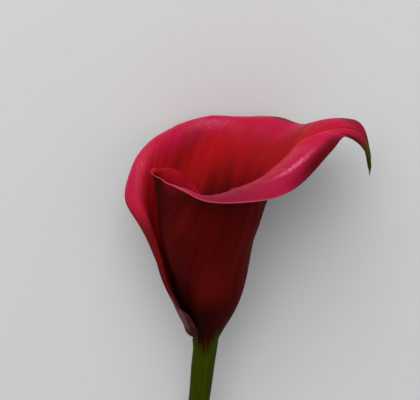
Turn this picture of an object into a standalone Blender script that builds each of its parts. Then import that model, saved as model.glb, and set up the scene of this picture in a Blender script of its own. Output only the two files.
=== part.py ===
"""Calla lily flower: a cut stem, one rolled spathe and the spadix inside it.

The flower is drawn standing on its stem, in millimetres: x towards the tip of
the spathe, y towards its back, z up the stem, with z = 0 where the spathe joins
the stem.  It is then laid down on its back, as a cut flower lies on a table.
"""
import math

import bmesh
import bpy
import numpy as np
from mathutils import Matrix

MM = 0.001

# --- spathe -----------------------------------------------------------------
SHEET_THICKNESS = 0.70
SHEET_COLUMNS = 76
SHEET_ROWS = 24

# The free edge, from the margin tucked inside the funnel round the front, the
# tip and the back to the lobe that wraps over the front of the base.
# Columns: azimuth in degrees, radius and height of the edge, how far the crest
# of the lip lies inside and above the edge, and how far the lip arches up.
EDGE = [
    (-300.0, 16.0, 30.0, 0.6, -3.0, 0.0),
    (-280.0, 17.5, 48.0, 0.6, -3.0, 0.0),
    (-262.0, 18.7, 63.9, 0.8, -3.0, 0.0),
    (-253.0, 19.9, 69.4, 0.8, -3.0, 0.0),
    (-238.0, 20.0, 75.2, 0.8, -2.5, 0.0),
    (-217.0, 20.9, 80.2, 0.9, -2.0, 0.1),
    (-198.0, 22.4, 82.1, 1.0, -1.8, 0.2),
    (-180.0, 24.1, 84.2, 1.2, -1.6, 0.3),
    (-168.0, 23.4, 85.2, 1.0, -1.6, 0.2),
    (-139.0, 22.9, 86.2, 1.2, -1.0, 0.2),
    (-121.0, 24.6, 86.7, 1.6, -0.5, 0.3),
    (-108.0, 27.4, 86.7, 2.4, -0.2, 0.4),
    (-90.0, 33.5, 86.2, 4.2, 0.3, 0.6),
    (-75.0, 39.3, 87.4, 9.0, 0.3, 1.0),
    (-59.5, 44.8, 88.8, 13.3, 1.2, 1.6),
    (-51.5, 46.1, 89.0, 13.7, 2.1, 1.8),
    (-43.5, 47.2, 89.7, 14.1, 2.4, 1.9),
    (-28.8, 49.1, 92.8, 14.4, 2.0, 1.8),
    (-15.4, 53.6, 98.5, 15.0, -0.5, 1.4),
    (-11.4, 56.2, 101.3, 15.1, -1.3, 1.2),
    (-6.7, 60.0, 104.1, 15.1, -1.6, 1.2),
    (-5.3, 62.5, 102.6, 15.8, 0.1, 2.0),
    (-3.4, 67.3, 97.6, 17.5, 5.7, 4.8),
    (-1.6, 71.0, 90.6, 20.4, 12.7, 7.6),
    (-0.8, 72.0, 87.3, 21.8, 15.3, 8.7),
    (0.0, 71.4, 82.4, 22.8, 18.0, 9.6),
    (1.0, 72.1, 89.0, 23.2, 12.2, 9.2),
    (2.1, 71.4, 94.0, 24.0, 6.3, 8.0),
    (5.5, 68.9, 102.4, 24.0, -3.4, 4.8),
    (8.5, 66.7, 104.0, 22.5, -5.5, 3.7),
    (18.0, 61.0, 98.8, 17.0, -2.5, 3.7),
    (23.2, 58.5, 95.5, 15.0, -0.5, 3.4),
    (34.5, 54.8, 91.8, 11.0, 2.2, 2.5),
    (42.0, 52.5, 91.8, 8.5, 2.9, 2.2),
    (50.0, 51.4, 91.2, 7.1, 4.3, 1.4),
    (60.0, 49.8, 89.6, 7.2, 5.2, 1.0),
    (74.0, 43.9, 89.8, 4.3, 4.9, 0.6),
    (88.0, 42.0, 89.6, 3.9, 4.9, 0.6),
    (105.0, 44.4, 87.2, 7.4, 5.1, 0.9),
    (117.0, 42.2, 85.8, 6.0, 4.5, 0.8),
    (128.0, 39.8, 84.4, 4.2, 4.2, 0.6),
    (137.0, 39.2, 82.8, 4.0, 4.0, 0.6),
    (156.0, 37.6, 77.0, 3.6, 4.0, 0.6),
    (168.0, 36.7, 71.2, 3.2, 3.6, 0.5),
    (172.0, 36.2, 68.6, 3.0, 3.4, 0.5),
    (181.7, 32.3, 63.0, 2.4, 2.4, 0.4),
    (185.7, 29.8, 59.4, 2.0, 2.0, 0.3),
    (190.3, 27.6, 55.5, 1.6, 1.5, 0.3),
    (193.4, 25.8, 51.0, 1.3, 1.0, 0.2),
    (200.2, 23.0, 42.5, 0.8, 0.0, 0.1),
    (205.6, 19.8, 32.7, 0.8, -0.8, 0.1),
    (209.0, 18.5, 28.8, 0.8, -1.0, 0.0),
    (220.0, 16.7, 24.4, 0.8, -1.0, 0.0),
    (228.0, 16.1, 22.8, 0.6, -1.0, 0.0),
    (236.5, 15.0, 21.0, 0.5, -1.0, 0.0),
    (244.0, 14.4, 17.8, 0.4, -1.0, 0.0),
    (246.5, 13.5, 13.8, 0.3, -0.9, 0.0),
    (242.5, 12.6, 10.0, 0.2, -0.8, 0.0),
    (233.5, 12.0, 7.6, 0.1, -0.6, 0.0),
]

# The funnel: height, radius, sway towards the tip and radius gained per turn,
# which keeps the overlapping layers of the roll apart.
FUNNEL = [
    (0.0, 6.3, 0.0, 1.5),
    (5.0, 8.2, 0.1, 1.7),
    (10.0, 10.5, 0.5, 1.9),
    (16.0, 13.4, 0.9, 1.9),
    (24.0, 16.0, 0.6, 2.2),
    (35.0, 18.6, 0.2, 3.3),
    (46.0, 20.4, 0.0, 4.6),
    (56.0, 22.2, 0.0, 5.4),
    (66.0, 25.0, 0.0, 6.0),
    (76.0, 29.4, 0.0, 6.6),
    (90.0, 38.0, 0.0, 7.4),
]
WALL_STEPS = (0.0, 0.1, 0.25, 0.5, 0.75)

# The lobe at the end of the roll stands off the stem and starts a little higher.
LOBE_FROM = 165.0
LOBE_TO = 225.0
LOBE_OUT = 1.1
LOBE_UP = 5.0

# Beside the tip the near lip rolls over more steeply towards its edge.
ROLL_LEAN = 0.22
ROLL_ARCH = 1.7

# --- stem and spadix --------------------------------------------------------
# Centre line of the stem: x, y, z and radius, from the spathe down to the cut.
STEM_LINE = [
    (-0.2, 0.0, -0.8, 6.0),
    (-0.4, 0.0, -3.5, 5.85),
    (-1.2, 0.0, -13.5, 5.5),
    (-2.8, 0.0, -30.0, 5.2),
    (-6.0, 0.2, -60.0, 5.0),
    (-10.5, 0.8, -112.0, 5.1),
]
STEM_RINGS = 14
STEM_SIDES = 24
CUT_SLOPE = 0.45
PEG = [(-0.8, 4.3), (5.4, 4.1), (5.9, 3.6)]

SPADIX_PROFILE = [
    (6.2, 3.5),
    (6.9, 4.0),
    (14.0, 4.2),
    (24.0, 4.2),
    (34.0, 4.0),
    (43.0, 3.6),
    (49.0, 3.0),
    (52.0, 2.2),
    (53.6, 1.2),
]
SPADIX_TOP = 54.0
SPADIX_SIDES = 20

# --- how the flower lies ----------------------------------------------------
LIE_PITCH = -79.35
LIE_ROLL = 0.27


def spline(knots, values, at):
    """Natural cubic spline through rows of values at rising knots."""
    count = len(knots)
    gaps = np.diff(knots)
    system = np.zeros((count, count))
    target = np.zeros(values.shape)
    system[0, 0] = 1.0
    system[-1, -1] = 1.0
    for i in range(1, count - 1):
        system[i, i - 1] = gaps[i - 1]
        system[i, i] = 2.0 * (gaps[i - 1] + gaps[i])
        system[i, i + 1] = gaps[i]
        after = (values[i + 1] - values[i]) / gaps[i]
        before = (values[i] - values[i - 1]) / gaps[i - 1]
        target[i] = 6.0 * (after - before)
    bend = np.linalg.solve(system, target)
    cell = np.clip(np.searchsorted(knots, at, side="right") - 1, 0, count - 2)
    gap = gaps[cell][:, None]
    low = (knots[cell + 1] - at)[:, None] / gap
    high = 1.0 - low
    straight = low * values[cell] + high * values[cell + 1]
    curve = (low**3 - low) * bend[cell] + (high**3 - high) * bend[cell + 1]
    return straight + curve * gap**2 / 6.0


def lengths(points):
    """Running length along a row of points."""
    steps = np.linalg.norm(np.diff(points, axis=0), axis=1)
    return np.concatenate([[0.0], np.cumsum(steps)])


def polar(azimuth, radius, height):
    """Points from azimuth in degrees, radius and height."""
    turn = np.radians(azimuth)
    return np.stack([radius * np.cos(turn), radius * np.sin(turn), height], -1)


def smooth(value, low, high):
    """Smooth rise from 0 at low to 1 at high."""
    t = np.clip((value - low) / (high - low), 0.0, 1.0)
    return t * t * (3.0 - 2.0 * t)


def roll_share(azimuth):
    """How far the near lip rolls over beside the tip, 0 to 1."""
    return smooth(azimuth, -62.0, -36.0) * (1.0 - smooth(azimuth, -22.0, -7.0))


def funnel_radius(azimuth, height):
    """Radius of the rolled wall at an azimuth and height."""
    table = np.array(FUNNEL)
    radius, sway, gain = spline(table[:, 0], table[:, 1:], height).T
    return radius + sway * np.cos(np.radians(azimuth)) + gain * azimuth / 360.0


def rib_knots(azimuth, radius, height, lip_in, lip_up, arch):
    """Radius and height of the points each rib passes, base to edge."""
    crest_height = height + lip_up
    lobe = smooth(azimuth, LOBE_FROM, LOBE_TO)
    foot = LOBE_UP * lobe
    knots = []
    for step in WALL_STEPS:
        level = foot + (crest_height - foot) * step
        wall = funnel_radius(azimuth, level) + lobe * LOBE_OUT * (1.0 - step) ** 2
        knots.append(np.stack([wall, level], -1))
    knots.append(np.stack([radius - lip_in, crest_height], -1))
    lip = np.hypot(lip_in, lip_up)
    inward = 0.5 - ROLL_LEAN * roll_share(azimuth)
    rise = arch + ROLL_ARCH * roll_share(azimuth)
    middle_radius = radius - lip_in * inward + rise * lip_up / lip
    middle_height = height + lip_up * inward + rise * lip_in / lip
    knots.append(np.stack([middle_radius, middle_height], -1))
    knots.append(np.stack([radius, height], -1))
    return np.stack(knots, 1)


def sheet_middle(columns, rows):
    """Grid of points midway through the sheet: rib by rib, base to edge."""
    table = np.array(EDGE)
    along = lengths(polar(table[:, 0], table[:, 1], table[:, 2]))
    edge = spline(along, table, np.linspace(0.0, along[-1], columns))
    knots = rib_knots(*edge.T)
    grid = np.zeros((columns, rows, 3))
    for i in range(columns):
        run = lengths(knots[i])
        rib = spline(run, knots[i], np.linspace(0.0, run[-1], rows))
        grid[i] = polar(edge[i, 0], rib[:, 0], rib[:, 1])
    return grid


def grid_normals(grid):
    """Unit normals of a grid, pointing into the funnel."""
    around = np.gradient(grid, axis=0)
    up = np.gradient(grid, axis=1)
    normal = np.cross(up, around)
    return normal / np.linalg.norm(normal, axis=2, keepdims=True)


def side_faces(columns, rows, start, flip):
    """Quads over one side of the sheet."""
    faces = []
    for i in range(columns - 1):
        for j in range(rows - 1):
            corner = start + i * rows + j
            face = (corner, corner + rows, corner + rows + 1, corner + 1)
            faces.append(face[::-1] if flip else face)
    return faces


def border_loop(columns, rows):
    """Grid indices once round the border."""
    base = [i * rows for i in range(columns)]
    last = [(columns - 1) * rows + j for j in range(1, rows)]
    edge = [i * rows + rows - 1 for i in range(columns - 2, -1, -1)]
    first = list(range(rows - 2, 0, -1))
    return base + last + edge + first


def spathe_body():
    """Both faces of the sheet and the strip that closes them."""
    middle = sheet_middle(SHEET_COLUMNS, SHEET_ROWS)
    offset = grid_normals(middle) * SHEET_THICKNESS / 2.0
    inside = (middle + offset).reshape(-1, 3)
    outside = (middle - offset).reshape(-1, 3)
    count = len(inside)
    faces = side_faces(SHEET_COLUMNS, SHEET_ROWS, 0, True)
    faces += side_faces(SHEET_COLUMNS, SHEET_ROWS, count, False)
    loop = border_loop(SHEET_COLUMNS, SHEET_ROWS)
    for here, after in zip(loop, loop[1:] + loop[:1]):
        faces.append((here, after, after + count, here + count))
    return np.concatenate([inside, outside]), faces


def ring(centre, radius, sides, slope=0.0):
    """One ring of points, tilted by the slope of a slanting cut."""
    turn = np.arange(sides) * 2.0 * math.pi / sides
    x = radius * np.cos(turn)
    y = radius * np.sin(turn)
    return np.array(centre) + np.stack([x, y, slope * x], -1)


def tube_body(rings):
    """Rings from bottom to top joined and closed by flat ends."""
    sides = len(rings[0])
    faces = [tuple(reversed(range(sides)))]
    for level in range(len(rings) - 1):
        for k in range(sides):
            near = level * sides + k
            far = level * sides + (k + 1) % sides
            faces.append((near, far, far + sides, near + sides))
    top = (len(rings) - 1) * sides
    faces.append(tuple(range(top, top + sides)))
    return np.concatenate(rings), faces


def stem_body():
    """The stem from its slanting cut up to the peg that carries the spadix."""
    table = np.array(STEM_LINE)
    run = lengths(table[:, :3])
    line = spline(run, table, np.linspace(run[-1], 0.0, STEM_RINGS))
    slopes = np.zeros(STEM_RINGS)
    slopes[0] = CUT_SLOPE
    rings = []
    for row, slope in zip(line, slopes):
        rings.append(ring(row[:3], row[3], STEM_SIDES, slope))
    for height, radius in PEG:
        rings.append(ring((0.0, 0.0, height), radius, STEM_SIDES))
    return tube_body(rings)


def spadix_body():
    """The finger-like spike that stands in the funnel."""
    rings = []
    for height, radius in SPADIX_PROFILE:
        rings.append(ring((0.0, 0.0, height), radius, SPADIX_SIDES))
    rings.append(ring((0.0, 0.0, SPADIX_TOP), 0.4, SPADIX_SIDES))
    return tube_body(rings)


def lay_down(bodies):
    """Turn every body onto its back and stand the whole on z = 0, centred."""
    pitch = Matrix.Rotation(math.radians(LIE_PITCH), 3, "X")
    roll = Matrix.Rotation(math.radians(LIE_ROLL), 3, "Z")
    turn = np.array(pitch @ roll)
    laid = {}
    for name, (points, faces) in bodies.items():
        laid[name] = (points @ turn.T * MM, faces)
    everything = np.concatenate([points for points, faces in laid.values()])
    low = everything.min(axis=0)
    high = everything.max(axis=0)
    origin = np.array([(low[0] + high[0]) / 2.0, (low[1] + high[1]) / 2.0, low[2]])
    return {name: (points - origin, faces) for name, (points, faces) in laid.items()}


def material(name, colour, roughness):
    """A plain Principled material."""
    made = bpy.data.materials.new(name)
    made.use_nodes = True
    shader = made.node_tree.nodes["Principled BSDF"]
    shader.inputs["Base Color"].default_value = (*colour, 1.0)
    shader.inputs["Roughness"].default_value = roughness
    made.diffuse_color = (*colour, 1.0)
    return made


def add_object(name, body, look):
    """One closed body as a named object, every face turned outwards."""
    points, faces = body
    mesh = bpy.data.meshes.new(name)
    mesh.from_pydata(points.tolist(), [], faces)
    working = bmesh.new()
    working.from_mesh(mesh)
    bmesh.ops.triangulate(working, faces=working.faces)
    bmesh.ops.recalc_face_normals(working, faces=working.faces)
    working.to_mesh(mesh)
    working.free()
    mesh.materials.append(look)
    made = bpy.data.objects.new(name, mesh)
    bpy.context.scene.collection.objects.link(made)


for existing in list(bpy.data.objects):
    bpy.data.objects.remove(existing, do_unlink=True)

LOOKS = {
    "stem": material("stem_green", (0.045, 0.085, 0.006), 0.45),
    "spathe": material("spathe_crimson", (0.35, 0.008, 0.035), 0.42),
    "spadix": material("spadix_yellow", (0.62, 0.36, 0.04), 0.75),
}
BODIES = {
    "stem": stem_body(),
    "spathe": spathe_body(),
    "spadix": spadix_body(),
}
for part_name, part_body in lay_down(BODIES).items():
    add_object(part_name, part_body, LOOKS[part_name])
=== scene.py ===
"""Calla lily flower: the looks of the cut stem, the rolled spathe and the spadix.

Shapes are drawn standing, in millimetres, as in the part's own source: x towards
the tip of the spathe, y towards its back, z up the stem, z = 0 where the spathe
joins the stem.  They are then laid down the same way and written in metres.
"""
import math

import bmesh
import bpy
import numpy as np
from mathutils import Matrix, Vector


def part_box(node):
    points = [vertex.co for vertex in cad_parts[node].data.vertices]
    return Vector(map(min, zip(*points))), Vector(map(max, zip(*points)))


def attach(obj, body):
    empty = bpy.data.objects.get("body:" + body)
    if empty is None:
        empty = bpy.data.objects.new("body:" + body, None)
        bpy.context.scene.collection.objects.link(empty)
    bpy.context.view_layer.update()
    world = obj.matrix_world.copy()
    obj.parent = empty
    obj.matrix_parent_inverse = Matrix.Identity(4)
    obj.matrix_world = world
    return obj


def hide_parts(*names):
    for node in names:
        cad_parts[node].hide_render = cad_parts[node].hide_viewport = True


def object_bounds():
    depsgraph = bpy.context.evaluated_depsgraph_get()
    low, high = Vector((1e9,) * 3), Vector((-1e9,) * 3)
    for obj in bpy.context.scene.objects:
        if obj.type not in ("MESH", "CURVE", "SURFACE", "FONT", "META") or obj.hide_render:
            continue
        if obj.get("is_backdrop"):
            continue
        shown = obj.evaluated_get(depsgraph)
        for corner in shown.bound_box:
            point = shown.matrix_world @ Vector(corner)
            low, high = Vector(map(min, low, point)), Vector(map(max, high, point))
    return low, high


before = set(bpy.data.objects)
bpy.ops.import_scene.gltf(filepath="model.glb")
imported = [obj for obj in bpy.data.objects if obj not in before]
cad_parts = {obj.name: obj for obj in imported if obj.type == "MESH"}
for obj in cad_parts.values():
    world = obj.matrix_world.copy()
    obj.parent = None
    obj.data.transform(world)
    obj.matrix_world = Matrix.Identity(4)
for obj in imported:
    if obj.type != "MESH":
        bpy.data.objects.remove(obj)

CAD_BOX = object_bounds()

# Metres in a millimetre.
MM = 0.001

# --- the same surface as the CAD sheet ----------------------------------------
# Azimuth, radius and height of the free edge, how far the crest of the lip lies
# inside and above the edge, and how far the lip arches up.
EDGE = [
    (-300.0, 16.0, 30.0, 0.6, -3.0, 0.0),
    (-280.0, 17.5, 48.0, 0.6, -3.0, 0.0),
    (-262.0, 18.7, 63.9, 0.8, -3.0, 0.0),
    (-253.0, 19.9, 69.4, 0.8, -3.0, 0.0),
    (-238.0, 20.0, 75.2, 0.8, -2.5, 0.0),
    (-217.0, 20.9, 80.2, 0.9, -2.0, 0.1),
    (-198.0, 22.4, 82.1, 1.0, -1.8, 0.2),
    (-180.0, 24.1, 84.2, 1.2, -1.6, 0.3),
    (-168.0, 23.4, 85.2, 1.0, -1.6, 0.2),
    (-139.0, 22.9, 86.2, 1.2, -1.0, 0.2),
    (-121.0, 24.6, 86.7, 1.6, -0.5, 0.3),
    (-108.0, 27.4, 86.7, 2.4, -0.2, 0.4),
    (-90.0, 33.5, 86.2, 4.2, 0.3, 0.6),
    (-75.0, 39.3, 87.4, 9.0, 0.3, 1.0),
    (-59.5, 44.8, 88.8, 13.3, 1.2, 1.6),
    (-51.5, 46.1, 89.0, 13.7, 2.1, 1.8),
    (-43.5, 47.2, 89.7, 14.1, 2.4, 1.9),
    (-28.8, 49.1, 92.8, 14.4, 2.0, 1.8),
    (-15.4, 53.6, 98.5, 15.0, -0.5, 1.4),
    (-11.4, 56.2, 101.3, 15.1, -1.3, 1.2),
    (-6.7, 60.0, 104.1, 15.1, -1.6, 1.2),
    (-5.3, 62.5, 102.6, 15.8, 0.1, 2.0),
    (-3.4, 67.3, 97.6, 17.5, 5.7, 4.8),
    (-1.6, 71.0, 90.6, 20.4, 12.7, 7.6),
    (-0.8, 72.0, 87.3, 21.8, 15.3, 8.7),
    (0.0, 71.4, 82.4, 22.8, 18.0, 9.6),
    (1.0, 72.1, 89.0, 23.2, 12.2, 9.2),
    (2.1, 71.4, 94.0, 24.0, 6.3, 8.0),
    (5.5, 68.9, 102.4, 24.0, -3.4, 4.8),
    (8.5, 66.7, 104.0, 22.5, -5.5, 3.7),
    (18.0, 61.0, 98.8, 17.0, -2.5, 3.7),
    (23.2, 58.5, 95.5, 15.0, -0.5, 3.4),
    (34.5, 54.8, 91.8, 11.0, 2.2, 2.5),
    (42.0, 52.5, 91.8, 8.5, 2.9, 2.2),
    (50.0, 51.4, 91.2, 7.1, 4.3, 1.4),
    (60.0, 49.8, 89.6, 7.2, 5.2, 1.0),
    (74.0, 43.9, 89.8, 4.3, 4.9, 0.6),
    (88.0, 42.0, 89.6, 3.9, 4.9, 0.6),
    (105.0, 44.4, 87.2, 7.4, 5.1, 0.9),
    (117.0, 42.2, 85.8, 6.0, 4.5, 0.8),
    (128.0, 39.8, 84.4, 4.2, 4.2, 0.6),
    (137.0, 39.2, 82.8, 4.0, 4.0, 0.6),
    (156.0, 37.6, 77.0, 3.6, 4.0, 0.6),
    (168.0, 36.7, 71.2, 3.2, 3.6, 0.5),
    (172.0, 36.2, 68.6, 3.0, 3.4, 0.5),
    (181.7, 32.3, 63.0, 2.4, 2.4, 0.4),
    (185.7, 29.8, 59.4, 2.0, 2.0, 0.3),
    (190.3, 27.6, 55.5, 1.6, 1.5, 0.3),
    (193.4, 25.8, 51.0, 1.3, 1.0, 0.2),
    (200.2, 23.0, 42.5, 0.8, 0.0, 0.1),
    (205.6, 19.8, 32.7, 0.8, -0.8, 0.1),
    (209.0, 18.5, 28.8, 0.8, -1.0, 0.0),
    (220.0, 16.7, 24.4, 0.8, -1.0, 0.0),
    (228.0, 16.1, 22.8, 0.6, -1.0, 0.0),
    (236.5, 15.0, 21.0, 0.5, -1.0, 0.0),
    (244.0, 14.4, 17.8, 0.4, -1.0, 0.0),
    (246.5, 13.5, 13.8, 0.3, -0.9, 0.0),
    (242.5, 12.6, 10.0, 0.2, -0.8, 0.0),
    (233.5, 12.0, 7.6, 0.1, -0.6, 0.0),
]

# Height, radius, sway towards the tip and radius gained per turn.
FUNNEL = [
    (0.0, 6.3, 0.0, 1.5),
    (5.0, 8.2, 0.1, 1.7),
    (10.0, 10.5, 0.5, 1.9),
    (16.0, 13.4, 0.9, 1.9),
    (24.0, 16.0, 0.6, 2.2),
    (35.0, 18.6, 0.2, 3.3),
    (46.0, 20.4, 0.0, 4.6),
    (56.0, 22.2, 0.0, 5.4),
    (66.0, 25.0, 0.0, 6.0),
    (76.0, 29.4, 0.0, 6.6),
    (90.0, 38.0, 0.0, 7.4),
]

# Shares of the wall's height at the points that each rib passes.
WALL_STEPS = (0.0, 0.1, 0.25, 0.5, 0.75)

# The end of the roll turns out as a lobe: the azimuths where that starts and is
# complete, and how far the lobe's foot then lies out and up.
LOBE_FROM = 165.0
LOBE_TO = 225.0
LOBE_OUT = 1.1
LOBE_UP = 5.0

# Beside the tip the near lip rolls over more steeply towards its edge.
ROLL_LEAN = 0.22
ROLL_ARCH = 1.7

# Turns that lay the standing flower down, in degrees.
LIE_PITCH = -79.35
LIE_ROLL = 0.27

# --- what the fine sheet adds -------------------------------------------------
# Points along the edge and up each rib, and the rows that round off the border.
COLUMNS = 440
ROWS = 96
BORDER_STEPS = 3

# Half the sheet's thickness in the wall, at the margin and where it leaves the
# stem, and how far in from there it thins.
THICK_HALF = 0.35
MARGIN_HALF = 0.16
COLLAR_HALF = 0.12
MARGIN_TAPER = 4.0
COLLAR_TAPER = 5.0

# Where the sheet grows from the stem: the skin's radius and sway, how far each
# turn lies off the skin, and how far the lobe's foot lies inside its wall.
COLLAR_LEVEL = -1.6
COLLAR_RADIUS = 5.98
COLLAR_SWAY = -0.3
FIRST_TURN_ENDS = -150.0
FIRST_TURN_OFF = -0.45
NEXT_TURN_OFF = 0.06
LOBE_FOOT_IN = 0.2
LOBE_FOOT_DOWN = 0.5

# Heights of the small shapes on the sheet, in millimetres.
LIP_WAVE = 0.16
PLEAT = 0.07
FINE_PLEAT = 0.02
FOLD_RISE = 0.40
WAIST_DEPTH = 0.9
SCROLL_CURL = 1.3
LOBE_CURL = 1.5

# The slack fold down the front: heights and the azimuth of its line there.
FOLD_HEIGHT = (40.0, 55.6, 69.0, 87.6)
FOLD_AZIMUTH = (-106.0, -93.0, -76.0, -67.0)
FOLD_WIDTH = 2.6

# Where the margin curls inwards at the front corner of the roll.
SCROLL_AZIMUTH = -190.0
SCROLL_WIDTH = 11.0

# --- stem and spadix ----------------------------------------------------------
# Centre line of the stem: x, y, z and radius, from under the spathe to the cut.
STEM_LINE = [
    (-0.1, 0.0, 5.2, 3.9),
    (-0.15, 0.0, 1.5, 4.6),
    (-0.2, 0.0, -0.6, 5.7),
    (-0.3, 0.0, -2.0, 6.12),
    (-0.3, 0.0, -4.0, 6.04),
    (-1.1, 0.0, -13.5, 5.65),
    (-2.75, 0.0, -30.0, 5.28),
    (-6.0, 0.2, -60.0, 5.0),
    (-10.5, 0.8, -112.0, 5.1),
]
STEM_RINGS = 90
STEM_SIDES = 72

# Low ridges of the skin, the slanting cut and its hollow pith.
STEM_RIDGES = 18.0
STEM_RIDGE = 0.035
STEM_LOBES = 5.0
STEM_LOBE = 0.05
STEM_WAVE = 0.06
STEM_END = STEM_LINE[-1][2]
CUT_SLOPE = 0.45
CUT_REACH = 2.5
CUT_RINGS = 10
PITH_DEPTH = 0.35
PITH_WAVE = 0.08

# Height and radius of the spike over the tops of its florets.
SPADIX_PROFILE = [
    (6.2, 3.5),
    (6.9, 4.0),
    (14.0, 4.2),
    (24.0, 4.2),
    (34.0, 4.0),
    (43.0, 3.6),
    (49.0, 3.0),
    (52.0, 2.2),
    (53.6, 1.2),
]
SPADIX_TOP = 54.0
SPADIX_END = (SPADIX_TOP, 0.4)
SPADIX_SIDES = 20
CORE_SIDES = 40
CORE_INSET = 0.5
CORE_LEAST = 0.25
SLOPE_STEP = 0.5

# Florets: how they are spaced, their size as a share of the pitch and how tall
# they stand, each with its spread, and the height where the green ones end.
FLORET_PITCH = 1.15
FLORET_CLOSENESS = 0.92
FIRST_FLORET_UP = 0.5
LAST_FLORET_DOWN = 0.45
LEAST_RADIUS = 0.8
GOLDEN_ANGLE = 2.399963
FLORET_SEED = 4
FLORET_SIZE = 0.5
SIZE_SPREAD = 0.04
FLORET_TALL = 0.45
TALL_SPREAD = 0.06
FEMALE_TOP = 18.0

# Spread and lift of each ring of a floret, from its foot to its blunt top.
FLORET_RINGS = ((0.85, -0.3), (1.0, 0.25), (0.86, 0.7), (0.5, 0.95), (0.16, 0.88))
FLORET_SIDES = 8

# --- camera and light ---------------------------------------------------------
# In the standing flower's millimetres: how far the camera is from the joint
# along its view, and how far it stands aside and above as shares of that.
VIEW_ELEVATION = 26.0
VIEW_DEPTH = 561.918557
VIEW_ASIDE = 1.0 / 300.0
VIEW_ABOVE = 0.1125
LENS = 102.857143
SENSOR_WIDTH = 36.0
NEAR_CLIP = 0.01
FAR_CLIP = 20.0

# In the laid flower's metres; the light is aimed at the origin on the floor.
KEY_TOWARDS = (-0.12, 0.71, 0.69)
KEY_DISTANCE = 2.0
KEY_SIZE = 1.7
KEY_POWER = 26.0
KEY_COLOUR = (1.0, 0.98, 0.96)
WORLD_COLOUR = (0.95, 0.97, 1.0, 1.0)
WORLD_STRENGTH = 0.42
FLOOR_HALF = 3.0


# --- curves -------------------------------------------------------------------
def spline(knots, values, at):
    """Natural cubic spline through rows of values at rising knots."""
    count = len(knots)
    gaps = np.diff(knots)
    system = np.zeros((count, count))
    target = np.zeros(values.shape)
    system[0, 0] = 1.0
    system[-1, -1] = 1.0
    for i in range(1, count - 1):
        system[i, i - 1] = gaps[i - 1]
        system[i, i] = 2.0 * (gaps[i - 1] + gaps[i])
        system[i, i + 1] = gaps[i]
        after = (values[i + 1] - values[i]) / gaps[i]
        before = (values[i] - values[i - 1]) / gaps[i - 1]
        target[i] = 6.0 * (after - before)
    bend = np.linalg.solve(system, target)
    cell = np.clip(np.searchsorted(knots, at, side="right") - 1, 0, count - 2)
    gap = gaps[cell][:, None]
    low = (knots[cell + 1] - at)[:, None] / gap
    high = 1.0 - low
    straight = low * values[cell] + high * values[cell + 1]
    curve = (low**3 - low) * bend[cell] + (high**3 - high) * bend[cell + 1]
    return straight + curve * gap**2 / 6.0


def lengths(points):
    """Running length along a row of points."""
    steps = np.linalg.norm(np.diff(points, axis=0), axis=1)
    return np.concatenate([[0.0], np.cumsum(steps)])


def polar(azimuth, radius, height):
    """Points from azimuth in degrees, radius and height."""
    turn = np.radians(azimuth)
    return np.stack([radius * np.cos(turn), radius * np.sin(turn), height], -1)


def smooth(value, low, high):
    """Smooth rise from 0 at low to 1 at high."""
    t = np.clip((value - low) / (high - low), 0.0, 1.0)
    return t * t * (3.0 - 2.0 * t)


def level_ring(radius, height, sides):
    """Points round a level circle."""
    turn = np.arange(sides) * 2.0 * math.pi / sides
    return np.stack([radius * np.cos(turn), radius * np.sin(turn), np.full(sides, height)], -1)


# --- spathe -------------------------------------------------------------------
def funnel_radius(azimuth, height):
    """Radius of the rolled wall at an azimuth and height."""
    table = np.array(FUNNEL)
    radius, sway, gain = spline(table[:, 0], table[:, 1:], height).T
    return radius + sway * np.cos(np.radians(azimuth)) + gain * azimuth / 360.0


def collar_knot(azimuth, lobe):
    """Where a rib leaves the stem: the sheet grows out of the skin there."""
    skin = COLLAR_RADIUS + COLLAR_SWAY * np.cos(np.radians(azimuth))
    layer = np.where(azimuth < FIRST_TURN_ENDS, FIRST_TURN_OFF, NEXT_TURN_OFF)
    free = funnel_radius(azimuth, LOBE_UP * lobe) + LOBE_OUT - LOBE_FOOT_IN
    radius = (skin + layer) * (1.0 - lobe) + free * lobe
    level = COLLAR_LEVEL * (1.0 - lobe) + (LOBE_UP - LOBE_FOOT_DOWN) * lobe
    return np.stack([radius, level], -1)


def roll_share(azimuth):
    """How far the near lip rolls over beside the tip, 0 to 1."""
    return smooth(azimuth, -62.0, -36.0) * (1.0 - smooth(azimuth, -22.0, -7.0))


def rib_knots(azimuth, radius, height, lip_in, lip_up, arch):
    """Radius and height of the points each rib passes, base to edge."""
    crest_height = height + lip_up
    lobe = smooth(azimuth, LOBE_FROM, LOBE_TO)
    knots = [collar_knot(azimuth, lobe)]
    foot = LOBE_UP * lobe
    for step in WALL_STEPS:
        level = foot + (crest_height - foot) * step
        wall = funnel_radius(azimuth, level) + lobe * LOBE_OUT * (1.0 - step) ** 2
        knots.append(np.stack([wall, level], -1))
    knots.append(np.stack([radius - lip_in, crest_height], -1))
    lip = np.hypot(lip_in, lip_up)
    inward = 0.5 - ROLL_LEAN * roll_share(azimuth)
    rise = arch + ROLL_ARCH * roll_share(azimuth)
    middle_radius = radius - lip_in * inward + rise * lip_up / lip
    middle_height = height + lip_up * inward + rise * lip_in / lip
    knots.append(np.stack([middle_radius, middle_height], -1))
    knots.append(np.stack([radius, height], -1))
    return np.stack(knots, 1)


def sheet_middle():
    """Midway points of the sheet and the azimuth of each rib."""
    table = np.array(EDGE)
    along = lengths(polar(table[:, 0], table[:, 1], table[:, 2]))
    edge = spline(along, table, np.linspace(0.0, along[-1], COLUMNS))
    knots = rib_knots(*edge.T)
    grid = np.zeros((COLUMNS, ROWS, 3))
    for i in range(COLUMNS):
        run = lengths(knots[i])
        rib = spline(run, knots[i], np.linspace(0.0, run[-1], ROWS))
        grid[i] = polar(edge[i, 0], rib[:, 0], rib[:, 1])
    return grid, edge[:, 0]


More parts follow.
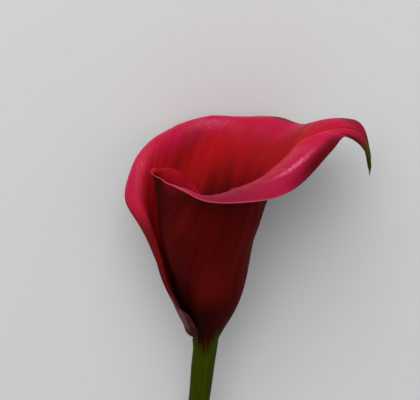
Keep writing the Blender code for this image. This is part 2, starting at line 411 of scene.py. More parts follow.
def grid_normals(grid):
    """Unit normals of a grid, pointing into the funnel."""
    around = np.gradient(grid, axis=0)
    up = np.gradient(grid, axis=1)
    normal = np.cross(up, around)
    return normal / np.linalg.norm(normal, axis=2, keepdims=True)


def grid_runs(grid):
    """Length along each rib from its base, and along each row from its start."""
    up = np.linalg.norm(np.diff(grid, axis=1), axis=2)
    around = np.linalg.norm(np.diff(grid, axis=0), axis=2)
    rise = np.concatenate([np.zeros((COLUMNS, 1)), np.cumsum(up, 1)], 1)
    sweep = np.concatenate([np.zeros((1, ROWS)), np.cumsum(around, 0)], 0)
    return rise, sweep


def sheet_facts(grid, azimuth):
    """What the relief and the colours need to know at each point of the grid."""
    rise, sweep = grid_runs(grid)
    to_edge = rise[:, -1:] - rise
    to_side = np.minimum(sweep, sweep[-1:] - sweep)
    share = np.linspace(0.0, 1.0, ROWS)[None, :]
    azimuths = np.repeat(azimuth[:, None], ROWS, 1)
    return {
        "rise": rise,
        "margin": np.minimum(to_edge, to_side),
        "edge": to_edge,
        "share": np.repeat(share, COLUMNS, 0),
        "azimuth": azimuths,
        "vein": azimuths / (1.0 - 0.5 * share**2),
        "lobe": smooth(azimuths, LOBE_FROM, LOBE_TO),
        "tip": np.linalg.norm(grid - grid[np.argmin(np.abs(azimuth)), -1], axis=2),
        "height": grid[:, :, 2],
    }


def lip_waves(facts):
    """Slow waves that fade out a little way inside the lip."""
    azimuth = np.radians(facts["azimuth"])
    near_lip = 1.0 - smooth(facts["edge"], 0.0, 16.0)
    wave = np.sin(9.0 * azimuth) + 0.6 * np.sin(17.0 * azimuth + 1.3)
    return LIP_WAVE * near_lip * wave


def pleats(facts):
    """Soft lengthwise pleats of the wall, with fine ones between them."""
    vein = np.radians(facts["vein"])
    body = smooth(facts["share"], 0.1, 0.4) * (1.0 - smooth(facts["share"], 0.85, 1.0))
    broad = np.sin(19.0 * vein + 1.5 * np.sin(3.0 * vein))
    fine = np.sin(47.0 * vein + 2.0 * np.sin(5.0 * vein))
    return body * (PLEAT * broad + FINE_PLEAT * fine)


def relief(facts):
    """How far each point moves into the funnel, in millimetres."""
    away_from_tip = smooth(facts["tip"], 6.0, 24.0)
    waves = away_from_tip * (lip_waves(facts) + pleats(facts))
    inwards = FOLD_RISE * fold(facts) + WAIST_DEPTH * waist(facts) + SCROLL_CURL * scroll(facts)
    return waves + inwards - LOBE_CURL * lobe_roll(facts)


def fold(facts):
    """A slack fold that slants down the front wall."""
    line = np.interp(facts["height"], FOLD_HEIGHT, FOLD_AZIMUTH)
    apart = (facts["azimuth"] - line) / FOLD_WIDTH
    return np.exp(-apart**2) * smooth(facts["height"], 46.0, 60.0) * smooth(facts["edge"], 2.0, 10.0)


def waist(facts):
    """The wall draws in a little under the lip beside the tip."""
    here = smooth(facts["azimuth"], -48.0, -24.0) * (1.0 - smooth(facts["azimuth"], 0.0, 24.0))
    level = smooth(facts["height"], 58.0, 74.0) * (1.0 - smooth(facts["height"], 76.0, 90.0))
    return here * level


def scroll(facts):
    """The margin curls inwards just behind the front corner of the roll."""
    here = np.exp(-(((facts["azimuth"] - SCROLL_AZIMUTH) / SCROLL_WIDTH) ** 2))
    return here * (1.0 - smooth(facts["edge"], 0.0, 4.0))


def lobe_roll(facts):
    """The end of the roll turns outwards along its free edge."""
    here = smooth(facts["azimuth"], 205.0, 226.0)
    return here * (1.0 - smooth(facts["edge"], 0.0, 6.0)) ** 1.5


def half_thickness(facts):
    """The sheet thins to its free margin and where it grows from the stem."""
    margin = MARGIN_HALF + (THICK_HALF - MARGIN_HALF) * smooth(facts["margin"], 0.0, MARGIN_TAPER)
    held = (1.0 - smooth(facts["rise"], 0.0, COLLAR_TAPER)) * (1.0 - facts["lobe"])
    return margin * (1.0 - held) + COLLAR_HALF * held


def border_loop():
    """Column and row of each point once round the border."""
    last_column = COLUMNS - 1
    last_row = ROWS - 1
    loop = [(i, 0) for i in range(COLUMNS)]
    loop += [(last_column, j) for j in range(1, ROWS)]
    loop += [(i, last_row) for i in range(COLUMNS - 2, -1, -1)]
    loop += [(0, j) for j in range(ROWS - 2, 0, -1)]
    return np.array(loop)


def border_outward(grid, loop):
    """Unit direction out of the sheet at each point of the border."""
    around = np.gradient(grid, axis=0)
    up = np.gradient(grid, axis=1)
    around /= np.linalg.norm(around, axis=2, keepdims=True)
    up /= np.linalg.norm(up, axis=2, keepdims=True)
    i, j = loop.T
    side = (i == COLUMNS - 1).astype(float) - (i == 0)
    end = (j == ROWS - 1).astype(float) - (j == 0)
    outward = side[:, None] * around[i, j] + end[:, None] * up[i, j]
    return outward / np.linalg.norm(outward, axis=1, keepdims=True)


def side_faces(start):
    """Quads over one side of the sheet."""
    first = np.arange(COLUMNS - 1)[:, None] * ROWS + np.arange(ROWS - 1)[None, :]
    corner = first.reshape(-1) + start
    return np.stack([corner, corner + ROWS, corner + ROWS + 1, corner + 1], 1)


def strip_faces(here, there):
    """Quads between two closed loops of vertex numbers."""
    return np.stack([here, np.roll(here, -1), np.roll(there, -1), there], 1)


def rounded_border(middle, normal, half):
    """Points and faces of the rows that round off the border, and their grid cells."""
    count = COLUMNS * ROWS
    loop = border_loop()
    i, j = loop.T
    cells = i * ROWS + j
    outward = border_outward(middle, loop)
    points = []
    faces = []
    last = cells
    for step in range(1, BORDER_STEPS + 1):
        angle = math.pi * step / (BORDER_STEPS + 1)
        lift = math.cos(angle) * normal[i, j] + math.sin(angle) * outward
        points.append(middle[i, j] + lift * half[i, j])
        row = 2 * count + (step - 1) * len(loop) + np.arange(len(loop))
        faces.append(strip_faces(last, row))
        last = row
    faces.append(strip_faces(last, count + cells))
    return points, faces, cells


def spathe_mesh():
    """Points, faces and per-point facts of the closed sheet."""
    middle, azimuth = sheet_middle()
    facts = sheet_facts(middle, azimuth)
    middle = middle + grid_normals(middle) * relief(facts)[:, :, None]
    normal = grid_normals(middle)
    half = half_thickness(facts)[:, :, None]
    count = COLUMNS * ROWS
    border, border_faces, cells = rounded_border(middle, normal, half)
    points = [(middle + normal * half).reshape(-1, 3), (middle - normal * half).reshape(-1, 3)]
    faces = [side_faces(0)[:, ::-1], side_faces(count)] + border_faces
    source = np.concatenate([np.arange(count), np.arange(count)] + [cells] * BORDER_STEPS)
    values = {name: fact.reshape(-1)[source] for name, fact in facts.items()}
    slots = np.zeros(sum(len(part) for part in faces), dtype=int)
    inside = len(faces[0])
    slots[inside:inside + len(faces[1])] = 1
    return np.concatenate(points + border), np.concatenate(faces), values, slots


# --- stem and spadix ----------------------------------------------------------
def stem_rings():
    """Rings from the slanting cut to the top that hides under the spathe."""
    table = np.array(STEM_LINE)
    run = lengths(table[:, :3])
    line = spline(run, table, np.linspace(run[-1], 0.0, STEM_RINGS))
    turn = np.arange(STEM_SIDES) * 2.0 * math.pi / STEM_SIDES
    ridge = STEM_RIDGE * np.sin(STEM_RIDGES * turn)
    ridge = ridge + STEM_LOBE * np.sin(STEM_LOBES * turn + 0.7)
    rings = []
    for row in line:
        height = row[2]
        wave = STEM_WAVE * math.sin(height / 7.0) * np.cos(turn + height / 40.0)
        radius = row[3] - STEM_WAVE + ridge + wave
        slope = CUT_SLOPE * math.exp((STEM_END - height) / CUT_REACH)
        x = radius * np.cos(turn)
        y = radius * np.sin(turn)
        rings.append(row[:3] + np.stack([x, y, slope * x], -1))
    return rings


def cut_rings(rim):
    """Rings over the cut face: a raised skin edge round a slightly hollow pith."""
    centre = rim.mean(axis=0)
    rings = []
    for k in range(CUT_RINGS):
        share = 1.0 - (k + 0.5) / CUT_RINGS
        sunk = PITH_DEPTH * (1.0 - share**4) + PITH_WAVE * math.sin(9.0 * share)
        ring = centre + (rim - centre) * share
        ring[:, 2] += sunk
        rings.append(ring)
    return rings[::-1]


def tube(rings):
    """Rings from bottom to top joined and closed by flat ends."""
    sides = len(rings[0])
    faces = [tuple(reversed(range(sides)))]
    for level in range(len(rings) - 1):
        for k in range(sides):
            near = level * sides + k
            far = level * sides + (k + 1) % sides
            faces.append((near, far, far + sides, near + sides))
    top = (len(rings) - 1) * sides
    faces.append(tuple(range(top, top + sides)))
    return np.concatenate(rings), faces


def stem_mesh():
    """Points, faces and per-point facts of the stem."""
    skin = stem_rings()
    cut = cut_rings(skin[0])
    points, faces = tube(cut + skin)
    on_cut = np.concatenate([np.ones(len(cut) * STEM_SIDES), np.zeros(len(skin) * STEM_SIDES)])
    turn = np.tile(np.arange(STEM_SIDES) / STEM_SIDES, len(cut) + len(skin))
    values = {
        "cut": on_cut,
        "height": points[:, 2],
        "side_x": np.cos(turn * 2.0 * math.pi),
        "side_y": np.sin(turn * 2.0 * math.pi),
    }
    return points, faces, values, np.zeros(len(faces), dtype=int)


def dome(centre, out, size, tall):
    """A small blunt bead standing on the core."""
    out = out / np.linalg.norm(out)
    helper = np.array([0.0, 0.0, 1.0]) if abs(out[2]) < 0.9 else np.array([1.0, 0.0, 0.0])
    side = np.cross(helper, out)
    side /= np.linalg.norm(side)
    other = np.cross(out, side)
    turn = np.arange(FLORET_SIDES) * 2.0 * math.pi / FLORET_SIDES
    flat = np.outer(np.cos(turn), side) + np.outer(np.sin(turn), other)
    rings = []
    for spread, lift in FLORET_RINGS:
        rings.append(centre + flat * size * spread + out * tall * lift)
    return tube(rings)


def spadix_core(profile):
    """The smooth core that the florets stand on."""
    rings = []
    for height, radius in profile:
        rings.append(level_ring(max(radius - CORE_INSET, CORE_LEAST), height, CORE_SIDES))
    return tube(rings)


def floret(height, radius, slope, angle, chance):
    """One floret: its points, faces and tone."""
    out = np.array([math.cos(angle), math.sin(angle), -slope])
    size = FLORET_PITCH * (FLORET_SIZE + SIZE_SPREAD * next(chance))
    tall = FLORET_TALL + TALL_SPREAD * next(chance)
    inset = radius - tall
    centre = np.array([inset * math.cos(angle), inset * math.sin(angle), height])
    points, faces = dome(centre, out, size, tall)
    return points, faces, 0.5 + 0.5 * next(chance)


def spadix_mesh():
    """Core and florets in rows that wind up the spike."""
    profile = np.array(SPADIX_PROFILE + [SPADIX_END])
    chance = random_stream(FLORET_SEED)
    points, faces = spadix_core(profile)
    bodies = [(points, faces, 0.0)]
    height = profile[0, 0] + FIRST_FLORET_UP
    angle = 0.0
    while height < SPADIX_TOP - LAST_FLORET_DOWN:
        levels = [height, height + SLOPE_STEP]
        radius, above = np.interp(levels, profile[:, 0], profile[:, 1])
        slope = (above - radius) / SLOPE_STEP
        bodies.append(floret(height, radius, slope, angle, chance))
        room = FLORET_PITCH**2 / (2.0 * math.pi * max(radius, LEAST_RADIUS))
        height += room * FLORET_CLOSENESS
        angle += GOLDEN_ANGLE
    return join(bodies)


def random_stream(seed):
    """Endless repeatable numbers from -1 to 1."""
    source = np.random.default_rng(seed)
    while True:
        yield float(source.uniform(-1.0, 1.0))


def join(bodies):
    """Several closed bodies as one list of points and faces, with a tone each."""
    points = []
    faces = []
    tones = []
    count = 0
    for body_points, body_faces, tone in bodies:
        points.append(body_points)
        faces += [tuple(corner + count for corner in face) for face in body_faces]
        tones.append(np.full(len(body_points), tone))
        count += len(body_points)
    points = np.concatenate(points)
    values = {"tone": np.concatenate(tones), "height": points[:, 2]}
    return points, faces, values, np.zeros(len(faces), dtype=int)


# --- from the growing flower to the laid flower -------------------------------
def lying_turn():
    """Turn of the growing flower onto its back."""
    pitch = Matrix.Rotation(math.radians(LIE_PITCH), 3, "X")
    roll = Matrix.Rotation(math.radians(LIE_ROLL), 3, "Z")
    return np.array(pitch @ roll)


def lying_origin(turn):
    """Where the growing origin lies, found from the CAD spadix."""
    profile = SPADIX_PROFILE + [SPADIX_END]
    rings = [level_ring(radius, height, SPADIX_SIDES) for height, radius in profile]
    low = (np.concatenate(rings) @ turn.T).min(axis=0)
    return np.array(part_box("spadix")[0]) - low * MM


TURN = lying_turn()
ORIGIN = lying_origin(TURN)


def laid(points):
    """Millimetres of the growing flower to metres of the laid one."""
    return points @ TURN.T * MM + ORIGIN


def add_piece(name, body, node, *looks):
    """One mesh piece that stands for a CAD node."""
    points, faces, values, slots = body
    mesh = bpy.data.meshes.new(name)
    mesh.from_pydata(laid(points).tolist(), [], [tuple(int(k) for k in face) for face in faces])
    mesh.polygons.foreach_set("material_index", slots)
    for label, numbers in values.items():
        layer = mesh.attributes.new(label, "FLOAT", "POINT")
        layer.data.foreach_set("value", numbers.astype(np.float32))
    working = bmesh.new()
    working.from_mesh(mesh)
    bmesh.ops.recalc_face_normals(working, faces=working.faces)
    working.to_mesh(mesh)
    working.free()
    mesh.shade_smooth()
    for look in looks:
        mesh.materials.append(look)
    piece = bpy.data.objects.new(name, mesh)
    bpy.context.scene.collection.objects.link(piece)
    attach(piece, "root")
    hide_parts(node)


# --- colours ------------------------------------------------------------------
# Inner face of the sheet: its lip, wall and throat, with painted shade on the front of the lip, in
# the throat and down the last turn, and painted light beside that turn.
LIP_DARK = (0.46, 0.0080, 0.048)
LIP_LIGHT = (0.56, 0.0105, 0.072)
FRONT_LIP_SHADE = (0.275, 0.0080, 0.034)
WALL_DARK = (0.47, 0.0095, 0.0115)
WALL_LIGHT = (0.57, 0.0120, 0.0175)
WALL_BESIDE_TIP = (0.30, 0.0075, 0.0095)
STREAK_RED = (0.20, 0.0070, 0.0060)
THROAT_SHADE_RED = (0.085, 0.0042, 0.0026)
CREVICE_LIGHT_RED = (0.85, 0.020, 0.028)
STRIP_SHADE_RED = (0.15, 0.0060, 0.0040)

# Its margins, with painted shade under the near lip, in the corner of the roll and on the far crest
# and rim, painted light on the innermost turn and painted highlights on the near rim and as pale
# grains.
UNDERSIDE_SHADE_RED = (0.090, 0.0035, 0.0030)
CORNER_SHADE_RED = (0.06, 0.003, 0.003)
INNER_TURN_LIGHT_RED = (0.50, 0.012, 0.030)
BEAK_BROWN = (0.022, 0.004, 0.0012)
LOBE_LINING = (0.080, 0.014, 0.018)
NEAR_RIM_HIGHLIGHT = (0.62, 0.10, 0.15)
FAR_CREST_SHADE = (0.12, 0.008, 0.013)
FAR_RIM_SHADE = (0.13, 0.010, 0.014)
HIGHLIGHT_PINK = (0.85, 0.20, 0.30)

# Outer face of the sheet and the end of the roll, with painted shade beside the roll and low down, a
# painted shadow in the crease and painted light in front.
MAROON_SHADE = (0.022, 0.0020, 0.0016)
MAROON_DARK = (0.046, 0.0022, 0.0018)
MAROON_LIGHT = (0.144, 0.0058, 0.0048)
# Painted shadow of the lobe, near black, in the crease beside it.
CREASE_SHADOW_MAROON = (0.008, 0.0010, 0.0008)
UNDER_LIP_RED = (0.25, 0.0090, 0.0130)
# Painted light: a lighter red in the middle of the front wall.
FRONT_LIGHT_RED = (0.19, 0.0075, 0.0065)
ROLL_EDGE_BROWN = (0.13, 0.0050, 0.0035)
LOBE_BROWN = (0.060, 0.012, 0.015)
MAUVE_DARK = (0.13, 0.050, 0.056)
MAUVE_LIGHT = (0.22, 0.105, 0.115)

# Foot and tip of the sheet, and the stem.
FOOT_MAROON = (0.030, 0.0040, 0.0014)
TIP_MAROON = (0.14, 0.010, 0.011)
TIP_OLIVE = (0.052, 0.047, 0.0012)
OLIVE_DARK = (0.028, 0.042, 0.0004)
OLIVE_LIGHT = (0.047, 0.067, 0.0006)
PITH_DARK = (0.30, 0.34, 0.14)
PITH_LIGHT = (0.52, 0.55, 0.30)

# Spadix and floor.
YELLOW_DARK = (0.42, 0.20, 0.012)
YELLOW_LIGHT = (0.74, 0.46, 0.05)
GREEN_DARK = (0.20, 0.22, 0.03)
GREEN_LIGHT = (0.42, 0.42, 0.09)
POLLEN = (0.80, 0.60, 0.12)
PAPER_DARK = (0.76, 0.76, 0.76)
PAPER_LIGHT = (0.80, 0.80, 0.80)

PETAL_TINT = (1.0, 0.5, 0.7, 1.0)

# How many grains to a metre, and how deep each fine relief is in metres.
PETAL_GRAIN = 1700.0
FIBRE_GRAIN = 1500.0
FLORET_GRAIN = 1800.0
PAPER_GRAIN = 900.0
PETAL_RELIEF = 0.00013
STEM_RELIEF = 0.00010
FLORET_RELIEF = 0.00008

# Sockets of the mix node that carry colours.
MIX_FIRST = 6
MIX_SECOND = 7
MIX_RESULT = 2


# --- materials ----------------------------------------------------------------
def opaque(colour):
    """A plain colour with full alpha, or a socket as it is."""
    return (*colour, 1.0) if isinstance(colour, tuple) else colour


class Nodes:
    """Short ways to add and join shader nodes of one material."""

    def __init__(self, name):
        self.material = bpy.data.materials.new(name)
        self.material.use_nodes = True
        self.tree = self.material.node_tree
        self.shader = self.tree.nodes["Principled BSDF"]

    def add(self, kind, **settings):
        """A new node with some of its settings."""
        made = self.tree.nodes.new(kind)
        for key, value in settings.items():
            setattr(made, key, value)
        return made

    def put(self, socket, value):
        """Link a socket to a socket, or set it to a plain value."""
        if isinstance(value, bpy.types.NodeSocket):
            self.tree.links.new(value, socket)
        else:
            socket.default_value = value

    def fact(self, name):
        """A number that the mesh holds at each point."""
        return self.add("ShaderNodeAttribute", attribute_name=name).outputs["Fac"]

    def math(self, operation, first, second=0.0):
        """One arithmetic step on sockets or plain numbers."""
        made = self.add("ShaderNodeMath", operation=operation)
        self.put(made.inputs[0], first)
        self.put(made.inputs[1], second)
        return made.outputs[0]

    def between(self, value, low, high, bottom=0.0, top=1.0):
        """Smooth change from bottom to top while value goes from low to high."""
        made = self.add("ShaderNodeMapRange", interpolation_type="SMOOTHSTEP")
        self.put(made.inputs["Value"], value)
        made.inputs["From Min"].default_value = low
        made.inputs["From Max"].default_value = high
        made.inputs["To Min"].default_value = bottom
        made.inputs["To Max"].default_value = top
        return made.outputs["Result"]

    def times(self, *shares):
        """Product of several shares."""
        product = shares[0]
        for share in shares[1:]:
            product = self.math("MULTIPLY", product, share)
        return product

    def within(self, value, start, full, fade, end):
        """Soft window: rises from start to full, falls from fade to end."""
        return self.times(self.between(value, start, full), self.between(value, end, fade))

    def band(self, value, centre, half):
        """Soft band: 1 at the centre, 0 from half its width outwards."""
        apart = self.math("ABSOLUTE", self.math("SUBTRACT", value, centre))
        return self.between(apart, half, 0.0)

    def swing(self, share, width):
        """A share from 0 to 1 as a swing of some width about 0."""
        return self.math("MULTIPLY", self.math("SUBTRACT", share, 0.5), width)

    def weighted(self, *parts):
        """Sum of values, each times its weight."""
        total = 0.0
        for value, weight in parts:
            total = self.math("ADD", total, self.math("MULTIPLY", value, weight))
        return total

    def vector(self, x, y, z):
        """A vector from its parts."""
        made = self.add("ShaderNodeCombineXYZ")
        for socket, value in zip(made.inputs, (x, y, z)):
            self.put(socket, value)
        return made.outputs[0]

    def noise(self, where, scale, detail, roughness):
        """Soft noise from 0 to 1."""
        made = self.add("ShaderNodeTexNoise")
        self.put(made.inputs["Vector"], where)
        made.inputs["Scale"].default_value = scale
        made.inputs["Detail"].default_value = detail
        made.inputs["Roughness"].default_value = roughness
        return made.outputs["Fac"]

    def mix(self, share, first, second):
        """The first colour with a share of the second."""
        made = self.add("ShaderNodeMix", data_type="RGBA")
        self.put(made.inputs["Factor"], share)
        self.put(made.inputs[MIX_FIRST], opaque(first))
        self.put(made.inputs[MIX_SECOND], opaque(second))
        return made.outputs[MIX_RESULT]

    def painted(self, colour, *coats):
        """A colour under coats of paint, each a share and a colour."""
        for share, paint in coats:
            colour = self.mix(share, colour, paint)
        return colour

    def place(self):
        """Position in metres."""
        return self.add("ShaderNodeTexCoord").outputs["Object"]

    def bump(self, height, distance):
        """Normals of a relief whose full height is a distance in metres."""
        made = self.add("ShaderNodeBump")
        made.inputs["Distance"].default_value = distance
        self.put(made.inputs["Height"], height)
        return made.outputs["Normal"]

    def set(self, **values):
        """Sockets of the shader, with underscores for the spaces in their names."""
        for label, value in values.items():
            self.put(self.shader.inputs[label.replace("_", " ")], value)


def streaks(n, seed, across, along, detail, roughness):
    """Noise drawn out along the ribs, with its scales across and along them."""
    x = n.math("MULTIPLY", n.fact("vein"), across)
    y = n.math("MULTIPLY", n.fact("share"), along)
    return n.noise(n.vector(x, y, seed), 1.0, detail, roughness)


def petal_patterns(n, seed):
    """Fine and broad lengthwise streaks, and soft blotches, each from 0 to 1."""
    fine = streaks(n, seed, 0.25, 2.0, 3.0, 0.6)
    broad = streaks(n, seed, 0.06, 1.8, 2.0, 0.5)
    blotch = streaks(n, seed, 0.025, 4.5, 2.0, 0.5)
    return fine, broad, blotch


def petal_relief(n, fine):
    """Fine skin: low vein ribs and the bright grain of the surface cells."""
    cells = n.noise(n.place(), PETAL_GRAIN, 3.0, 0.6)
    height = n.math("ADD", fine, n.math("MULTIPLY", cells, 0.8))
    return cells, n.bump(height, PETAL_RELIEF)


def maroon_share(n, towards_tip, streak):
    """How much of the maroon there is near the joint: it runs down the front."""
    off_centre = n.math("ABSOLUTE", n.math("ADD", towards_tip, 0.1))
    in_front = n.between(off_centre, 0.1, 0.8, -4.5, 2.0)
    under_tip = n.between(towards_tip, 0.4, 0.98, 0.0, 8.0)
    depth = n.math("SUBTRACT", n.fact("height"), n.math("ADD", in_front, under_tip))
    return n.between(n.math("ADD", depth, n.swing(streak, 34.0)), -5.0, 5.0)


def olive(n, streak):
    """Olive green with fine lengthwise lines."""
    return n.mix(n.between(streak, 0.3, 0.75), OLIVE_DARK, OLIVE_LIGHT)


def greened(n, colour, streak):
    """Olive at the foot of the sheet and at its drawn-out tip."""
    lobe = n.fact("lobe")
    tip = n.fact("tip")
    towards_tip = n.math("COSINE", n.math("RADIANS", n.fact("azimuth")))
    held = n.math("MAXIMUM", maroon_share(n, towards_tip, streak), n.between(lobe, 0.1, 0.6))
    foot = n.times(n.between(n.fact("height"), 9.0, 1.0, 0.0, 0.8), n.between(lobe, 0.5, 0.1))
    colour = n.mix(held, olive(n, streak), n.mix(foot, colour, FOOT_MAROON))
    return n.painted(
        colour,
        (n.between(tip, 30.0, 14.0, 0.0, 0.8), TIP_MAROON),
        (n.between(tip, 19.0, 11.0), TIP_OLIVE),
    )


# --- inner face of the sheet --------------------------------------------------
def inner_lip(n, azimuth, tone):
    """Pink-red of the open lip, with painted shade making it duller in front."""
    lip = n.mix(tone, LIP_DARK, LIP_LIGHT)
    return n.mix(n.band(azimuth, -76.0, 54.0), lip, FRONT_LIP_SHADE)


def inner_wall(n, azimuth, tone):
    """Plain red of the wall, darker beside the tip."""
    wall = n.mix(tone, WALL_DARK, WALL_LIGHT)
    beside_tip = n.within(azimuth, 5.0, 22.0, 36.0, 72.0)
    return n.mix(n.times(beside_tip, 0.65), wall, WALL_BESIDE_TIP)


def lip_share(n, azimuth, blotch):
    """How far the pink of the open lip reaches inwards, in soft tongues."""
    reach = n.math("ADD", n.fact("edge"), n.swing(blotch, 28.0))
    reach = n.math("ADD", reach, n.between(azimuth, 110.0, 150.0, 0.0, 7.0))
    after_roll = n.between(azimuth, -165.0, -125.0)
    open_lip = n.times(after_roll, n.between(azimuth, 205.0, 165.0, 0.1, 1.0))
    return n.times(n.between(reach, 27.0, 6.0), open_lip)


def slant_share(n, azimuth):
    """A darker streak that slants down the far wall."""
    shift = n.math("MULTIPLY", n.math("SUBTRACT", n.fact("height"), 80.0), 1.3)
    slant = n.math("ADD", azimuth, shift)
    return n.times(n.band(slant, 112.0, 15.0), n.between(n.fact("edge"), 8.0, 16.0, 0.0, 0.45))


def throat_shade_share(n, azimuth, broad):
    """Painted shade deep in the funnel: how deep a point lies, seen past the turns of the roll."""
    level = n.math("ADD", n.fact("height"), n.between(azimuth, 84.0, 108.0, 0.0, 14.0))
    level = n.math("SUBTRACT", level, n.math("MULTIPLY", n.band(azimuth, 66.0, 18.0), 4.0))
    level = n.math("ADD", level, n.swing(broad, 16.0))
    before_end = n.between(azimuth, 126.0, 148.0, 1.0, 0.05)
    unrolled = n.times(before_end, n.between(azimuth, -190.0, -140.0, 0.4, 1.0))
    return n.times(n.between(level, 84.0, 55.0), unrolled)


def crevice_light_share(n, azimuth):
    """Painted light: a clear red on the wall beside the last turn of the roll, making up for the
    shade the roll casts there.
    """
    wall = n.times(n.band(azimuth, 158.0, 16.0), n.between(n.fact("edge"), 14.0, 24.0))
    return n.times(wall, n.between(n.fact("height"), 40.0, 52.0))


def strip_shade_share(n, azimuth):
    """Painted shade: the dark strip down the last turn of the roll."""
    last_turn = n.between(azimuth, 172.0, 190.0, 0.0, 0.9)
    return n.times(last_turn, n.between(n.fact("height"), 70.0, 56.0))


def inner_colour(n, fine, broad, blotch):
    """Pink-red lip with painted shade in front, redder wall, painted shade in the throat and down
    the last turn, painted light beside it, and a few darker streaks.
    """
    azimuth = n.fact("azimuth")
    tone = n.weighted((broad, 0.5), (fine, 0.25), (blotch, 0.25))
    tone = n.between(tone, 0.28, 0.72)
    wall = inner_wall(n, azimuth, tone)
    lip = inner_lip(n, azimuth, tone)
    return n.painted(
        n.mix(lip_share(n, azimuth, blotch), wall, lip),
        (slant_share(n, azimuth), STREAK_RED),
        (throat_shade_share(n, azimuth, broad), THROAT_SHADE_RED),
        (crevice_light_share(n, azimuth), CREVICE_LIGHT_RED),
        (strip_shade_share(n, azimuth), STRIP_SHADE_RED),
    )


def underside_shade_share(n):
    """Painted shade on the underside of the near lip: how much of it a point gets where the lip
    rolls over away from the light.
    """
    turned = n.within(n.fact("azimuth"), -52.0, -22.0, -11.0, -4.0)
    return n.times(turned, n.between(n.fact("edge"), 7.5, 2.0, 0.0, 0.92))


def corner_shade_share(n):
    """Painted shade in the front corner of the roll, just inside its rim."""
    edge = n.fact("edge")
    inside_rim = n.times(n.band(n.fact("azimuth"), -180.0, 13.0), n.between(edge, 0.8, 2.0))
    return n.times(inside_rim, n.between(edge, 5.5, 3.0, 0.0, 0.8))


def inner_turn_light_share(n):
    """Painted light on the rim of the innermost turn, which shows in the mouth of the roll: a
    lighter red that makes up for the shade there.
    """
    innermost = n.between(n.fact("azimuth"), -200.0, -215.0)
    return n.times(innermost, n.between(n.fact("edge"), 14.0, 2.0, 0.0, 0.8))


def beak_share(n):
    """The narrow brown strip under the tip."""
    beak = n.within(n.fact("azimuth"), -6.2, -5.0, -0.3, 0.3)
    return n.times(beak, n.between(n.fact("edge"), 7.0, 3.5))


def lobe_lining_share(n):
    """The inner side of the lobe that ends the roll."""
    return n.times(n.between(n.fact("azimuth"), 205.0, 222.0), n.between(n.fact("edge"), 12.0, 6.0))


def near_rim_highlight_share(n):
    """Painted highlight: the thin pale rim of the near lip, where its edge catches the light."""
    along = n.within(n.fact("azimuth"), -172.0, -160.0, -50.0, -34.0)
    return n.times(along, n.between(n.fact("margin"), 0.6, 0.1, 0.0, 0.5))


def far_crest_shade_share(n):
    """Painted shade: the darker band outside the crest of the far lip, where it rolls over."""
    along = n.within(n.fact("azimuth"), 3.0, 9.0, 105.0, 130.0)
    return n.times(along, n.between(n.fact("edge"), 8.6, 6.4, 0.0, 0.85))


def far_rim_shade_share(n):
    """Painted shade: the dark rim of the far lip, where it turns under."""
    along = n.between(n.fact("azimuth"), 5.0, 12.0)
    return n.times(along, n.between(n.fact("margin"), 1.3, 0.5, 0.0, 0.85))


def inner_margins(n, colour):
    """Painted shade under the near lip, in the corner of the roll and on the far crest and rim,
    painted light on the innermost turn, a painted highlight on the near rim, and the brown beak and
    the lobe's lining.
    """
    return n.painted(
        colour,
        (underside_shade_share(n), UNDERSIDE_SHADE_RED),
        (corner_shade_share(n), CORNER_SHADE_RED),
        (inner_turn_light_share(n), INNER_TURN_LIGHT_RED),
        (beak_share(n), BEAK_BROWN),
        (lobe_lining_share(n), LOBE_LINING),
        (near_rim_highlight_share(n), NEAR_RIM_HIGHLIGHT),
        (far_crest_shade_share(n), FAR_CREST_SHADE),
        (far_rim_shade_share(n), FAR_RIM_SHADE),
    )


def painted_highlights(n, colour, cells):
    """Painted highlights as pale grains where the lip rolls over: a narrow line in front, a wider
    one behind.
    """
    azimuth = n.fact("azimuth")
    edge = n.fact("edge")
    crest = n.math("ADD", edge, n.math("MULTIPLY", azimuth, 0.085))
    front = n.times(n.band(crest, 4.5, 1.6), n.band(azimuth, -32.0, 22.0))
    behind = n.times(n.band(edge, 7.5, 4.0), n.band(azimuth, 154.0, 26.0), 0.22)
    top = n.times(n.band(edge, 12.0, 4.0), n.band(azimuth, 88.0, 26.0), 0.36)
    place = n.math("MAXIMUM", front, n.math("MAXIMUM", behind, top))
    return n.mix(n.times(place, n.between(cells, 0.40, 0.62)), colour, HIGHLIGHT_PINK)


def inner_look():
    """Satin crimson inner face of the spathe."""
    n = Nodes("spathe_inside")
    fine, broad, blotch = petal_patterns(n, 5.0)
    colour = inner_margins(n, inner_colour(n, fine, broad, blotch))
    cells, normal = petal_relief(n, fine)
    colour = painted_highlights(n, colour, cells)
    dull = n.math("MAXIMUM", underside_shade_share(n), n.band(n.fact("azimuth"), 10.0, 32.0))
    gloss = n.math("SUBTRACT", 0.14, n.math("MULTIPLY", dull, 0.11))
    n.set(
        Base_Color=greened(n, colour, broad),
        Roughness=n.math("ADD", 0.26, n.math("MULTIPLY", cells, 0.16)),
        Normal=normal,
        IOR=1.42,
        Specular_IOR_Level=gloss,
        Specular_Tint=PETAL_TINT,
    )
    return n.material


# --- outer face of the sheet --------------------------------------------------
def outer_maroon(n, azimuth, fine, broad, blotch):
    """Streaked maroon, with painted light making it a little lighter towards the tip's side."""
    tone = n.weighted((blotch, 0.38), (broad, 0.38), (fine, 0.24))
    # Painted light: the tone rises towards the tip's side.
    tone = n.math("ADD", tone, n.between(azimuth, -140.0, -40.0, -0.04, 0.08))
    return n.mix(n.between(tone, 0.1, 0.95), MAROON_DARK, MAROON_LIGHT)


